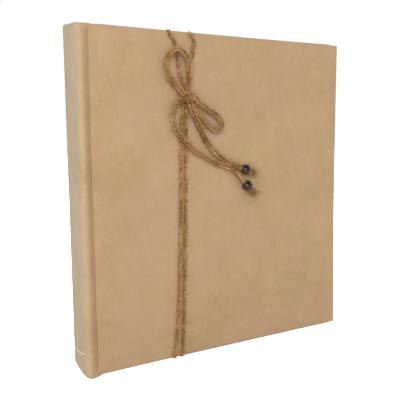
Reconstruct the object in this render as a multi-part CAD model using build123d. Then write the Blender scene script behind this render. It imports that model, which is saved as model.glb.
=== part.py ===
from build123d import *
import os
from math import asin, cos, degrees, pi, radians, sin, sqrt, tan

# A scrapbook album: a case-bound book of blank leaves in two stiff, paper-covered boards, closed
# with a bow of beaded twine on its front board. It stands on its tail edges, as on a shelf.
# Millimetres, +Z up. The front board faces -Y, the spine is at -X and the fore-edge at +X. The
# origin is under the middle of the closed album, on the surface that it stands on.

# ---- Overall sizes of the closed case ----
cover_height = 310.0
cover_width = 284.0
closed_thickness = 40.0
joint_width = 7.0
groove_setback = 1.2
spine_round = 3.8
shoulder_proud = 3.8

# ---- Sheet and board thicknesses ----
paper = 0.3
board = 2.4
pastedown = 0.25
spine_board = 1.4
leaf = 0.28
flyleaf = 0.25
mull = 0.5
liner = 0.3

# ---- How the covering paper is turned in, and what it leaves bare ----
turn_in = 15.0
pastedown_margin = 3.0

# ---- Text block ----
leaf_count = 30
square_head = 4.0
square_fore_edge = 4.0
guard_width = 14.0
crease_gap = 0.5
crease_setback = 3.5
flyleaf_crease_setback = 0.6
guard_setback = 0.6
hollow_back = 1.2
glue_line = 0.02
mull_inset = 10.0
lining_end_angle = 1.0
band_height = 2.4
band_depth = 2.2

# ---- Clearances ----
cord_clearance = 0.1
running_gap = 0.3
joint_gap = 0.15
twine_channel_play = 0.3
dent_play = 0.15
cut_past = 1.0

# ---- Twine, bow and beads ----
twine = 2.3
bow_cord = 3.6
notch_width = 4.6
edge_bend = 1.4
knot_length = 13.0
knot_diameter = 9.0
knot_rounding = 3.0
bead_diameter = 10.4
bead_bore = 3.4
end_knot_diameter = 6.0

# ---- Places that follow from the sizes ----
half_thickness = closed_thickness / 2
cover_thickness = paper + board + paper + pastedown
total_width = spine_round + joint_width + cover_width
fore_edge_x = total_width / 2
board_edge_x = fore_edge_x - cover_width
spine_apex_x = -fore_edge_x
inner_face_y = half_thickness - cover_thickness

# The spine is a shallow arc whose ends stand proud of the cover faces.
shoulder_y = half_thickness + shoulder_proud
spine_radius = (shoulder_y ** 2 + spine_round ** 2) / (2 * spine_round)
spine_axis_x = spine_apex_x + spine_radius
spine_half_angle = degrees(asin(shoulder_y / spine_radius))
spine_inner_radius = spine_radius - paper - spine_board
block_back_radius = spine_inner_radius - hollow_back - liner - mull

# The joint strip runs from the inner corner of the shoulder, over the groove, to the board's edge.
shoulder_inner_x = spine_axis_x - spine_inner_radius * cos(radians(spine_half_angle))
shoulder_inner_y = spine_inner_radius * sin(radians(spine_half_angle))
groove_depth = paper + board
groove_floor_x = board_edge_x - groove_setback

# The front cover keeps room for the twine behind it, the back cover only a running gap.
front_block_y = -(inner_face_y - twine - twine_channel_play - running_gap / 2)
back_block_y = inner_face_y - running_gap
first_sheet_y = front_block_y + flyleaf / 2
last_sheet_y = back_block_y - flyleaf / 2
pitch = (last_sheet_y - first_sheet_y) / (leaf_count + 1)
leaf_bottom_z = square_head
leaf_top_z = cover_height - square_head
leaf_fore_edge_x = fore_edge_x - square_fore_edge
block_apex_x = spine_apex_x + paper + spine_board + hollow_back + liner + mull
leaf_crease_x = block_apex_x + crease_setback + guard_width
flyleaf_crease_x = board_edge_x + flyleaf_crease_setback


def slab(x0, x1, y0, y1, z0, z1):
    """A rectangular block between six planes."""
    middle = ((x0 + x1) / 2, (y0 + y1) / 2, (z0 + z1) / 2)
    return Pos(*middle) * Box(x1 - x0, y1 - y0, z1 - z0)


def arc_band(radius, thickness, half_angle, z0, z1):
    """A standing strip of the spine's arc: its outer radius, thickness inwards and half its angle."""
    def on_arc(r, angle):
        return (spine_axis_x - r * cos(radians(angle)), r * sin(radians(angle)))

    inner = radius - thickness
    outline = [
        ThreePointArc(on_arc(radius, -half_angle), on_arc(radius, 0), on_arc(radius, half_angle)),
        Line(on_arc(radius, half_angle), on_arc(inner, half_angle)),
        ThreePointArc(on_arc(inner, half_angle), on_arc(inner, 0), on_arc(inner, -half_angle)),
        Line(on_arc(inner, -half_angle), on_arc(radius, -half_angle)),
    ]
    return Pos(0, 0, z0) * extrude(make_face(outline), amount=z1 - z0)


def ribbon(points, thickness, z0, z1):
    """A standing strip of even thickness, whose outer side runs through the points in plan."""
    line = Polyline(*points)
    strip = offset(line, amount=thickness, side=Side.LEFT, kind=Kind.INTERSECTION)
    return Pos(0, 0, z0) * extrude(make_face(strip.edges()), amount=z1 - z0)


def back_of_block_x(y):
    """Where the rounded back of the text block lies at a distance y from its middle."""
    return spine_axis_x - sqrt(block_back_radius ** 2 - y ** 2)


def mirrored(shape):
    """The same piece for the back cover."""
    return mirror(shape, about=Plane.XZ)


def save(name, *solids):
    """Write one sub-part, as a group where it is several loose solids."""
    shape = solids[0] if len(solids) == 1 else Compound(list(solids))
    export_step(shape, f"parts/{name}.step")


# ---- Cords: straight runs joined by tangent arcs ----

def bend_radii(points, share=0.45):
    """The largest arc at each corner that takes a share of the shorter run beside it."""
    radii = []
    for before, corner, after in zip(points, points[1:], points[2:]):
        run_in = Vector(*corner) - Vector(*before)
        run_out = Vector(*after) - Vector(*corner)
        half_turn = radians(run_in.get_angle(run_out)) / 2
        radii.append(share * min(run_in.length, run_out.length) / tan(half_turn))
    return radii


def tube(points, diameter, radii):
    """A round cord along filleted straight runs."""
    path = FilletPolyline(*points, radius=radii)
    section = Plane(path @ 0, z_dir=path % 0) * Circle(diameter / 2)
    return sweep(section, path=path)


def on_front(x, lift, z):
    """A point at a height over the front cover's outer face."""
    return (x, -half_thickness - lift, z)


def free_cord(name, route, diameter):
    """A cord of the bow. Prints its tightest bend and compares its volume with its length."""
    points = [on_front(*point) for point in route]
    radii = bend_radii(points)
    solid = tube(points, diameter, radii)
    runs = sum((Vector(*b) - Vector(*a)).length for a, b in zip(points, points[1:]))
    length = solid.volume / (pi * (diameter / 2) ** 2)
    print(f"{name}: tightest bend {min(radii):.1f}, cord {length:.1f}, runs added up {runs:.1f}")
    return solid


os.makedirs("parts", exist_ok=True)

# ---- Case: boards, covering paper, pastedowns ----

twine_lift = twine / 2 + cord_clearance
notch_depth = twine + dent_play
head_crossing_x = {"left": -59.0, "right": -36.5}
tail_crossing_x = {"left": -60.5, "right": -51.0}


def twine_dents():
    """The dents that the tight twine presses into the head and tail edges of the front cover."""
    y0 = -half_thickness - cut_past
    y1 = -inner_face_y + cut_past
    half_width = notch_width / 2
    head_floor_z = cover_height - notch_depth
    dents = []
    for x in head_crossing_x.values():
        dents.append(slab(x - half_width, x + half_width, y0, y1, head_floor_z, cover_height + cut_past))
    for x in tail_crossing_x.values():
        dents.append(slab(x - half_width, x + half_width, y0, y1, -cut_past, notch_depth))
    return dents


def cover_pieces():
    """The front cover's board, covering paper and pastedown, before the twine's dents."""
    outer_y = -half_thickness
    board_y = (outer_y + paper, outer_y + paper + board)
    turn_in_y = board_y[1] + paper
    board_solid = slab(board_edge_x, fore_edge_x - paper, *board_y, paper, cover_height - paper)
    wrap = slab(board_edge_x, fore_edge_x, outer_y, turn_in_y, 0, cover_height)
    window = slab(board_edge_x - cut_past, fore_edge_x - turn_in, board_y[1], turn_in_y + cut_past,
                  turn_in, cover_height - turn_in)
    filler = slab(board_edge_x, fore_edge_x - turn_in, board_y[1], turn_in_y, turn_in,
                  cover_height - turn_in)
    lining = slab(board_edge_x, fore_edge_x - pastedown_margin, turn_in_y, turn_in_y + pastedown,
                  pastedown_margin, cover_height - pastedown_margin)
    return board_solid, wrap - board_solid - window, lining + filler


front_board, front_paper, front_lining = cover_pieces()
back_board, back_paper, back_lining = (mirrored(piece) for piece in cover_pieces())
for dent in twine_dents():
    front_board = front_board - dent
    front_paper = front_paper - dent
save("front_board", front_board)
save("front_cover_paper", front_paper)
save("front_pastedown", front_lining)
save("back_board", back_board)
save("back_cover_paper", back_paper)
save("back_pastedown", back_lining)

# ---- Spine: a curved board in covering paper, with the paper turned in at head and tail ----

cap_angle = degrees(paper / spine_inner_radius)
spine_core = arc_band(spine_radius - paper, spine_board, spine_half_angle - cap_angle, paper,
                      cover_height - paper)
spine_skin = arc_band(spine_radius, paper + spine_board, spine_half_angle, 0, cover_height)
spine_skin = spine_skin - arc_band(spine_radius - paper, spine_board + cut_past,
                                   spine_half_angle - cap_angle, paper, cover_height - paper)
save("spine_board", spine_core)
save("spine_paper", spine_skin)

# ---- Joints: the paper of the groove outside, the fold of the endpaper inside ----

groove = [
    (shoulder_inner_x + joint_gap + paper, -shoulder_inner_y + paper / 2),
    (groove_floor_x, -half_thickness + groove_depth - paper),
    (board_edge_x - joint_gap - paper, -half_thickness),
]
front_joint = ribbon(groove, paper, 0, cover_height)
hinge_fold = slab(back_of_block_x(inner_face_y), board_edge_x - joint_gap, -inner_face_y,
                  -inner_face_y + flyleaf, leaf_bottom_z, leaf_top_z)
back_hinge_fold = mirrored(hinge_fold)
save("front_joint_paper", front_joint)
save("back_joint_paper", mirrored(front_joint))
save("front_endpaper_joint", hinge_fold)
save("back_endpaper_joint", back_hinge_fold)

# ---- Text block: stubs and guards glued at the back, leaves that turn at their creases ----

sheet_y = [first_sheet_y + index * pitch for index in range(leaf_count + 2)]
sheet_half = [flyleaf / 2] + [leaf / 2] * leaf_count + [flyleaf / 2]
sheet_crease_x = [flyleaf_crease_x] + [leaf_crease_x] * leaf_count + [flyleaf_crease_x]


def block_strip(x1, y0, y1):
    """A strip of the block from its rounded back to x1."""
    x0 = back_of_block_x(max(abs(y0), abs(y1)))
    return slab(x0, x1, y0, y1, leaf_bottom_z, leaf_top_z)


stubs = []
for y, half, crease_x in zip(sheet_y, sheet_half, sheet_crease_x):
    stubs.append(block_strip(crease_x, y - half, y + half))
save("leaf_stubs", *stubs)

guards = []
for index in range(leaf_count + 1):
    crease_x = min(sheet_crease_x[index], sheet_crease_x[index + 1])
    near = sheet_y[index] + sheet_half[index] + glue_line
    far = sheet_y[index + 1] - sheet_half[index + 1] - glue_line
    guards.append(block_strip(crease_x - guard_setback, near, far))
front_filler_y = (-inner_face_y + flyleaf + glue_line, sheet_y[0] - sheet_half[0] - glue_line)
guards.append(block_strip(board_edge_x - guard_setback, *front_filler_y))
save("leaf_guards", *guards)


def sheet(index):
    """The turning part of one sheet, from just past its crease to the fore-edge."""
    y = sheet_y[index]
    half = sheet_half[index]
    return slab(sheet_crease_x[index] + crease_gap, leaf_fore_edge_x, y - half, y + half,
                leaf_bottom_z, leaf_top_z)


save("front_flyleaf", sheet(0))
for number in range(1, leaf_count + 1):
    save(f"leaf_{number:02d}", sheet(number))
save("back_flyleaf", sheet(leaf_count + 1))

# ---- Linings of the block's back, and the bands at its ends ----

block_half_angle = degrees(asin(inner_face_y / block_back_radius)) - lining_end_angle
save("spine_mull", arc_band(block_back_radius + mull, mull, block_half_angle,
                            leaf_bottom_z + mull_inset, leaf_top_z - mull_inset))
save("spine_liner", arc_band(block_back_radius + mull + liner, liner, block_half_angle,
                             leaf_bottom_z, leaf_top_z))
band_angle = degrees(asin((last_sheet_y - flyleaf) / block_back_radius)) - lining_end_angle
head_band = arc_band(block_back_radius, band_depth, band_angle, leaf_top_z, leaf_top_z + band_height)
tail_band = arc_band(block_back_radius, band_depth, band_angle, leaf_bottom_z - band_height,
                     leaf_bottom_z)
save("head_and_tail_bands", head_band, tail_band)

# ---- Twine round the front cover: two strands, from the knot over the head and up from the tail ----

head_z = cover_height - twine / 2 - cord_clearance / 2
tail_z = twine / 2 + cord_clearance / 2
inside_y = -inner_face_y + twine_lift
above_knot = {
    "left": [(-44.6, 251.0), (-48.8, 268.0), (-51.2, 289.0)],
    "right": [(-41.8, 251.0), (-37.2, 268.0), (-34.6, 290.0)],
}
below_knot = {
    "left": [(-51.6, 65.0), (-48.4, 153.0), (-46.6, 172.0), (-46.4, 207.0), (-45.2, 247.0)],
    "right": [(-48.9, 65.0), (-45.8, 153.0), (-44.0, 172.0), (-43.7, 207.0), (-42.2, 247.0)],
}
for side in ("left", "right"):
    head_x = head_crossing_x[side]
    tail_x = tail_crossing_x[side]
    route = [on_front(x, twine_lift, z) for x, z in above_knot[side]]
    first_edge = len(route)
    route += [on_front(head_x, twine_lift, head_z), (head_x, inside_y, head_z)]
    route += [(tail_x, inside_y, tail_z), on_front(tail_x, twine_lift, tail_z)]
    route += [on_front(x, twine_lift, z) for x, z in below_knot[side]]
    radii = bend_radii(route)
    for corner in range(first_edge - 1, first_edge + 3):
        radii[corner] = edge_bend
    save(f"twine_wrap_{side}", tube(route, twine, radii))

# ---- Bow: knot, two loops, two tails, each tail with a bead and an end knot ----

knot_place = (-42.6, 5.6, 249.5)
knot = Pos(*on_front(*knot_place)) * Rot(0, 90, 0) * Cylinder(knot_diameter / 2, knot_length)
save("bow_knot", fillet(knot.edges().filter_by(GeomType.CIRCLE), knot_rounding))

# Route points are x, the height over the cover, and z.
loop_left = [
    (-46.5, 7.0, 251.0), (-51.5, 8.0, 256.0), (-58.0, 8.5, 262.0), (-63.5, 8.5, 268.5),
    (-66.5, 8.0, 276.5), (-65.0, 7.8, 284.5), (-60.0, 8.0, 291.0), (-53.0, 8.5, 293.5),
    (-47.0, 8.8, 289.5), (-43.2, 8.8, 282.5), (-42.0, 8.6, 274.0), (-42.6, 8.5, 265.5),
    (-43.2, 8.0, 258.5), (-42.8, 7.0, 252.5),
]
loop_right = [
    (-37.8, 7.4, 250.2), (-33.0, 7.2, 246.3), (-27.0, 7.0, 242.5), (-20.5, 6.8, 238.3),
    (-13.5, 6.5, 235.2), (-7.0, 6.0, 230.8), (-3.5, 5.5, 225.0), (-5.0, 5.0, 219.8),
    (-10.3, 4.7, 218.3), (-16.5, 4.6, 221.2), (-22.5, 4.6, 226.2), (-28.0, 4.8, 232.8),
    (-33.0, 5.0, 240.8), (-37.2, 4.9, 246.5),
]
tail_left = [
    (-47.0, 4.6, 247.8), (-52.0, 5.0, 245.5), (-56.0, 4.5, 239.5), (-57.8, 4.2, 231.5),
    (-56.6, 5.0, 223.0), (-53.0, 7.2, 215.5), (-47.5, 8.3, 209.0), (-41.0, 8.3, 203.8),
    (-33.0, 6.2, 198.6), (-23.0, 4.0, 193.8), (-13.5, 3.0, 189.3), (-5.0, 2.9, 184.6),
    (6.5, 3.6, 179.7), (19.6, 5.5, 169.6), (31.5, 5.5, 157.8),
]
tail_right = [
    (-42.3, 7.2, 247.0), (-39.2, 7.2, 239.8), (-34.2, 5.6, 231.5), (-30.0, 4.0, 224.8),
    (-26.0, 2.9, 217.8), (-21.8, 2.6, 210.3), (-16.0, 2.7, 203.0), (-9.0, 2.9, 196.0),
    (0.5, 3.4, 189.8), (15.5, 5.5, 182.5), (31.1, 5.5, 177.0),
]
save("bow_loop_left", free_cord("bow_loop_left", loop_left, bow_cord))
save("bow_loop_right", free_cord("bow_loop_right", loop_right, bow_cord))
save("bow_tail_left", free_cord("bow_tail_left", tail_left, bow_cord))
save("bow_tail_right", free_cord("bow_tail_right", tail_right, bow_cord))


def strung(route, distance):
    """A place on the last run of a tail, with its axis along the cord."""
    start = Vector(*on_front(*route[-2]))
    along = (Vector(*on_front(*route[-1])) - start).normalized()
    return Plane(start + along * distance, z_dir=along)


bead_distance = 8.7
end_knot_distance = bead_distance + bead_diameter / 2 + end_knot_diameter / 2 + cord_clearance
for name, route in (("upper", tail_right), ("lower", tail_left)):
    bead_place = strung(route, bead_distance)
    bead = bead_place * Sphere(bead_diameter / 2) - bead_place * Cylinder(bead_bore / 2, bead_diameter)
    save(f"bead_{name}", bead)
    save(f"end_knot_{name}", strung(route, end_knot_distance) * Sphere(end_knot_diameter / 2))
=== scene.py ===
import math

import bpy
import numpy as np
from mathutils import Matrix, Vector


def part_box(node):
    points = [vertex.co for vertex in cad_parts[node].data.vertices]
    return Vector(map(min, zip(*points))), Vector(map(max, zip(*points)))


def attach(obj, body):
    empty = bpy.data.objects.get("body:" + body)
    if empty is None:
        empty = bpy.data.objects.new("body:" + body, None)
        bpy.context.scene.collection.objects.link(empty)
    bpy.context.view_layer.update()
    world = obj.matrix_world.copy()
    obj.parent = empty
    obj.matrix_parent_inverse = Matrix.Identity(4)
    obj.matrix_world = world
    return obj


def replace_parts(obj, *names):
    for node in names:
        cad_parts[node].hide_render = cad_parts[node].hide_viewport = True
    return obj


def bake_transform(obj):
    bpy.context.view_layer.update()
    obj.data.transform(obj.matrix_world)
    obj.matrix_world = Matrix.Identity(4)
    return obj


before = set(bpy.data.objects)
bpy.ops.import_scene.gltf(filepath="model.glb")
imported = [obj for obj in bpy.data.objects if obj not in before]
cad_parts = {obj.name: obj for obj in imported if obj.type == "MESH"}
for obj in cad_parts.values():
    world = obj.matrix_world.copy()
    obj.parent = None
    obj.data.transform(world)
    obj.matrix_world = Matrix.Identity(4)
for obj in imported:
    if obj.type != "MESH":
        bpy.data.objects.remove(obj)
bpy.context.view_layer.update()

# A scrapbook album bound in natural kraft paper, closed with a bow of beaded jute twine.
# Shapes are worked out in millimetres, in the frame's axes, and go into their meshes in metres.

MM = 0.001
rng = np.random.default_rng(26)


def box_mm(node):
    """A node's lowest and highest corner, in millimetres."""
    low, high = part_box(node)
    return np.array(low) / MM, np.array(high) / MM


# ---- Places from the frame ----
wrap_low, wrap_high = box_mm("front_cover_paper")
lining_low, lining_high = box_mm("front_pastedown")
spine_low, spine_high = box_mm("spine_paper")
fold_low, _ = box_mm("front_endpaper_joint")
leaf_low, leaf_high = box_mm("leaf_01")
band_low, band_high = box_mm("head_and_tail_bands")

HINGE_X, FORE_X = wrap_low[0], wrap_high[0]
FRONT_Y = wrap_low[1]
HEIGHT = wrap_high[2]
WIDTH = FORE_X - HINGE_X
WRAP_THICK = wrap_high[1] - wrap_low[1]
INNER_Y = lining_high[1]
BLOCK_Z = (leaf_low[2], leaf_high[2])

# The spine's arc: its outer radius follows from its rise and its half width. The bands follow it.
SPINE_APEX = spine_low[0]
SPINE_RISE = 3.8
SPINE_HALF = spine_high[1]
SPINE_RADIUS = (SPINE_HALF ** 2 + SPINE_RISE ** 2) / (2 * SPINE_RISE)
SPINE_AXIS_X = SPINE_APEX + SPINE_RADIUS
SPINE_THICK = 1.7
JOINT_SPINE_X, JOINT_BOARD_X, JOINT_Y = -142.0, -136.9, 21.5

# The floor lies just under the tail edges, so that the twine passes beneath them.
FLOOR_Z = -1.0

# ---- Cords: x, height over the front cover and z of each route, in millimetres ----
TWINE = 3.15
BOW_TWINE = 2.6
TWINE_LIFT = 1.55
STRAND_GAP = 1.2
PLY_OFFSET, PLY_RADIUS = 0.25, 0.275
LOOP_LEFT = [
    (-46.5, 7.0, 251.0), (-51.5, 8.0, 256.0), (-58.0, 8.5, 262.0), (-63.5, 8.5, 268.5),
    (-66.5, 8.0, 276.5), (-65.0, 7.8, 284.5), (-60.0, 8.0, 291.0), (-53.0, 8.5, 293.5),
    (-47.0, 8.8, 289.5), (-43.2, 8.8, 282.5), (-42.0, 8.6, 274.0), (-42.6, 8.5, 265.5),
    (-43.2, 8.0, 258.5), (-42.8, 7.0, 252.5),
]
LOOP_RIGHT = [
    (-37.8, 7.4, 250.2), (-33.0, 7.2, 246.3), (-27.0, 7.0, 242.5), (-20.5, 6.8, 238.3),
    (-13.5, 6.5, 235.2), (-7.0, 6.0, 230.8), (-3.5, 5.5, 225.0), (-5.0, 5.0, 219.8),
    (-10.3, 4.7, 218.3), (-16.5, 4.6, 221.2), (-22.5, 4.6, 226.2), (-28.0, 4.8, 232.8),
    (-33.0, 5.0, 240.8), (-37.2, 4.9, 246.5),
]
TAIL_LEFT = [
    (-47.0, 4.6, 247.8), (-52.0, 5.0, 245.5), (-56.0, 4.5, 239.5), (-57.8, 4.2, 231.5),
    (-56.6, 5.0, 223.0), (-53.0, 7.2, 215.5), (-47.5, 8.3, 209.0), (-41.0, 8.3, 203.8),
    (-33.0, 6.2, 198.2), (-23.0, 4.0, 193.9), (-13.5, 3.1, 189.0), (-4.5, 3.2, 184.9),
    (11.3, 4.2, 180.2), (19.6, 5.5, 169.6), (31.5, 5.5, 157.8),
]
TAIL_RIGHT = [
    (-42.3, 7.2, 247.0), (-39.2, 7.2, 239.8), (-34.2, 5.6, 231.5), (-30.0, 4.0, 224.8),
    (-26.0, 2.9, 217.8), (-21.8, 2.6, 210.3), (-16.0, 2.7, 203.0), (-9.0, 2.9, 196.0),
    (1.6, 3.4, 188.0), (15.5, 5.5, 182.5), (31.1, 5.5, 177.0),
]
KNOT = (-41.0, 5.8, 249.6)
HEAD_CROSSING = {"left": -59.0, "right": -36.5}
TAIL_CROSSING = {"left": -58.8, "right": -50.6}
ABOVE_KNOT = {
    "left": [(-44.2, 251.0), (-49.2, 271.0), (-50.9, 292.0), (-54.6, 301.5)],
    "right": [(-40.6, 251.0), (-37.0, 268.0), (-35.4, 286.0), (-32.0, 304.2)],
}
BELOW_KNOT = {
    "left": [(-54.8, 27.0), (-50.8, 90.0), (-48.3, 150.0), (-47.8, 185.0), (-47.6, 215.0),
             (-44.8, 249.0)],
    "right": [(-48.4, 27.0), (-45.4, 90.0), (-43.2, 150.0), (-42.6, 185.0), (-42.5, 215.0),
              (-41.4, 249.0)],
}


# ---- Camera ----
CAMERA_PLACE = (-0.31548, -0.50552, 0.21413)
CAMERA_TURN = 30.624
CAMERA_DIP = 6.298
CAMERA_ROLL = -0.702
CAMERA_LENS = 52.686
CAMERA_SENSOR = 36.0


def make_camera():
    """Looks along +Y turned towards +X by the turn, down by the dip, then rolled about its own line."""
    turn, dip, roll = (math.radians(a) for a in (CAMERA_TURN, CAMERA_DIP, CAMERA_ROLL))
    forward = Vector((math.sin(turn) * math.cos(dip), math.cos(turn) * math.cos(dip), -math.sin(dip)))
    right = Vector((math.cos(turn), -math.sin(turn), 0))
    up = right.cross(forward)
    axes = (right * math.cos(roll) + up * math.sin(roll), up * math.cos(roll) - right * math.sin(roll),
            -forward)
    data = bpy.data.cameras.new("camera")
    data.lens, data.sensor_width = CAMERA_LENS, CAMERA_SENSOR
    camera = bpy.data.objects.new("camera", data)
    camera.matrix_world = Matrix.Translation(CAMERA_PLACE) @ Matrix(axes).transposed().to_4x4()
    bpy.context.scene.collection.objects.link(camera)
    bpy.context.scene.camera = camera


# ---- Shader maths ----

class Number:
    """A shader socket that holds a number, with the operators of arithmetic."""

    def __init__(self, finish, socket):
        self.finish, self.socket = finish, socket

    def _math(self, operation, *values):
        return self.finish.node("ShaderNodeMath", {"operation": operation}, dict(enumerate(values)))

    def __add__(self, other):
        return self._math("ADD", self, other)

    def __sub__(self, other):
        return self._math("SUBTRACT", self, other)

    def __rsub__(self, other):
        return self._math("SUBTRACT", other, self)

    def __mul__(self, other):
        return self._math("MULTIPLY", self, other)

    __radd__, __rmul__ = __add__, __mul__

    def sine(self):
        return self._math("SINE", self)

    def between(self, low, high):
        """0 below low, 1 above high, and smooth between them."""
        settings = {"interpolation_type": "SMOOTHSTEP"}
        return self.finish.node("ShaderNodeMapRange", settings, {0: self, 1: low, 2: high})


class Finish:
    """A Principled material and the nodes that feed it."""

    def __init__(self, name, roughness=0.8, **sockets):
        self.material = bpy.data.materials.new(name)
        self.material.use_nodes = True
        self.tree = self.material.node_tree
        self.shader = self.tree.nodes["Principled BSDF"]
        self.set("Roughness", roughness)
        for key, value in sockets.items():
            self.set(key.replace("_", " ").title().replace("Ior", "IOR"), value)

    def node(self, kind, settings=None, inputs=None, output=0):
        """A node of one type: its settings first, then its sockets' values or links."""
        made = self.tree.nodes.new(kind)
        for key, value in (settings or {}).items():
            if key == "stops":
                ramp = made.color_ramp
                while len(ramp.elements) < len(value):
                    ramp.elements.new(0.5)
                for element, (place, colour) in zip(ramp.elements, value):
                    element.position, element.color = place, (*colour, 1)
            else:
                setattr(made, key, value)
        for key, value in (inputs or {}).items():
            self._feed(made.inputs[key], value)
        return Number(self, made.outputs[output])

    def _feed(self, socket, value):
        if isinstance(value, Number):
            self.tree.links.new(value.socket, socket)
        else:
            socket.default_value = value

    def set(self, name, value):
        if name.endswith("Color") and not isinstance(value, Number):
            value = (*value, 1)
        self._feed(self.shader.inputs[name], value)

    def places(self, source="Object", stretch=(1, 1, 1), turn=(0, 0, 0)):
        """Coordinates of the object or its UV map, stretched and turned."""
        coordinates = self.node("ShaderNodeTexCoord", output=source)
        inputs = {"Vector": coordinates, "Scale": stretch, "Rotation": turn}
        return self.node("ShaderNodeMapping", {}, inputs)

    def place(self, axis):
        """How far along one of the object's axes, in metres: 0 is x, 1 is y and 2 is z."""
        return self.node("ShaderNodeSeparateXYZ", {}, {0: self.places()}, output=axis)

    def noise(self, places, scale, detail=2.0, rough=0.5):
        inputs = {"Vector": places, "Scale": scale, "Detail": detail, "Roughness": rough}
        return self.node("ShaderNodeTexNoise", {}, inputs)

    def mix(self, first, second, share):
        """The first colour, with a share of the second."""
        colours = [c if isinstance(c, Number) else (*c, 1) for c in (first, second)]
        inputs = {0: share, 6: colours[0], 7: colours[1]}
        return self.node("ShaderNodeMix", {"data_type": "RGBA"}, inputs, output=2)

    def ramp(self, share, *stops):
        return self.node("ShaderNodeValToRGB", {"stops": stops}, {0: share})

    def bump(self, height, distance, strength=1.0):
        """Height in units of the distance, which is in metres."""
        inputs = {"Height": height, "Distance": distance, "Strength": strength}
        self.set("Normal", self.node("ShaderNodeBump", {}, inputs))


def fibre_noise(finish, scale, turns, along=9.0):
    """Short straight fibres: noise squeezed across some directions in the covers' plane, averaged."""
    total = 0
    for turn in turns:
        places = finish.places(stretch=(along, along, 1), turn=(0, math.radians(turn), 0))
        total = finish.noise(places, scale, 2.0, 0.55) + total
    return total * (1 / len(turns))


def kraft_paper():
    """Natural kraft covering paper: cloudy pulp, short fibres, a few dark flecks. The painted level is 1 at
    an edge, a grey-brown painted shade, and -1 on a crease, a pale painted highlight."""
    finish = Finish("kraft_cover", 0.78, specular_ior_level=0.25, sheen_weight=0.06, sheen_roughness=0.5)
    plain = finish.places()
    cloud = finish.noise(plain, 30, 4.0, 0.62)
    grain = finish.noise(plain, 620, 3.0, 0.6)
    fibres = fibre_noise(finish, 110, (8, 65, 128))
    tone = cloud * 0.4 + grain * 0.3 + fibres * 0.3
    paper = finish.ramp(tone, (0.33, (0.428, 0.280, 0.140)), (0.5, (0.510, 0.343, 0.180)),
                        (0.67, (0.590, 0.406, 0.222)))
    blush = finish.noise(plain, 22, 3.0, 0.6).between(0.38, 0.62)
    paper = finish.mix(paper, (0.545, 0.350, 0.226), blush * 0.42)
    flecks = finish.noise(plain, 330, 1.0, 0.4).between(0.76, 0.80)
    paper = finish.mix(paper, (0.27, 0.16, 0.085), flecks * 0.45)
    shives = finish.noise(finish.places(stretch=(1, 1, 2.6)), 260, 1.0, 0.4).between(0.73, 0.80)
    paper = finish.mix(paper, (0.62, 0.47, 0.32), shives * 0.22)
    # Painted light, read from a point attribute: painted shade along the rims and a painted highlight on
    # the crease.
    painted_level = finish.node("ShaderNodeAttribute", {"attribute_name": "rim_wear"}, output=2)
    # Painted shade: the rims darkened grey-brown.
    paper = finish.mix(paper, (0.33, 0.245, 0.165), painted_level.between(0, 1) * 0.75)
    # Painted highlight: a pale colour along the spine's crease ridge, where the painted level is below 0.
    paper = finish.mix(paper, (0.74, 0.62, 0.48), painted_level.between(0, -1))
    finish.set("Base Color", paper)
    finish.set("Roughness", 0.72 + fibres * 0.14)
    finish.bump(grain * 0.5 + fibres * 0.5, 0.00010, 0.5)
    return finish.material


def plain_paper(name, colour, shade, rough=0.78):
    """Smooth book paper: a faint cloud of pulp and a fine tooth."""
    finish = Finish(name, rough, specular_ior_level=0.3)
    cloud = finish.noise(finish.places(), 60, 4.0, 0.6)
    tooth = finish.noise(finish.places(), 900, 2.0, 0.6)
    finish.set("Base Color", finish.mix(shade, colour, (cloud * 0.6 + tooth * 0.4).between(0.3, 0.6)))
    finish.bump(tooth * 0.7 + cloud * 0.3, 0.00006, 0.5)
    return finish.material


def woven(name, light, dark, pitch, rough=0.85):
    """Plain-weave cloth on a standing surface: ribs up the height crossed by ribs round the spine."""
    finish = Finish(name, rough)
    count = 2 * math.pi / (pitch * MM)
    weave = (finish.place(1) * count).sine() * 0.25 + (finish.place(2) * count).sine() * 0.25 + 0.5
    finish.set("Base Color", finish.mix(dark, light, weave.between(0.1, 0.7)))
    finish.bump(weave, 0.0002, 0.8)
    return finish.material


def jute(name, pale, golden, brown, dark):
    """Hairy jute: fibres run along each ply, so the pattern follows the UV map. U is along, in 100 mm,
    V is round a ply, and plies lie 0.37 apart in V, so that one is browner than its neighbour."""
    finish = Finish(name, 0.75, specular_ior_level=0.2, sheen_weight=0.15, sheen_roughness=0.4)
    fine = finish.noise(finish.places("UV", (8.0, 2.4, 1)), 6, 4.0, 0.7)
    patch = finish.noise(finish.places("UV", (3.0, 0.9, 1)), 5, 2.0, 0.5)
    slow = finish.noise(finish.places(), 70, 3.0, 0.6)
    tone = fine * 0.5 + patch * 0.3 + slow * 0.2
    colour = finish.ramp(tone, (0.38, dark), (0.455, brown), (0.525, golden), (0.62, pale))
    finish.set("Base Color", colour)
    finish.bump(fine, 0.0004, 0.9)
    return finish.material


def dark_lacquer():
    """A near-black, red-brown polished bead, its colour deeper in streaks round the bore."""
    finish = Finish("dark_bead", 0.07, specular_ior_level=0.8)
    streak = finish.noise(finish.places(stretch=(1, 1, 3)), 260, 3.0, 0.6)
    deep, lit = (0.006, 0.0014, 0.0006), (0.055, 0.016, 0.007)
    finish.set("Base Color", finish.ramp(streak, (0.35, deep), (0.7, lit)))
    finish.bump(finish.noise(finish.places(), 330, 2.0, 0.5), 0.00030, 0.3)
    return finish.material


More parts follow.
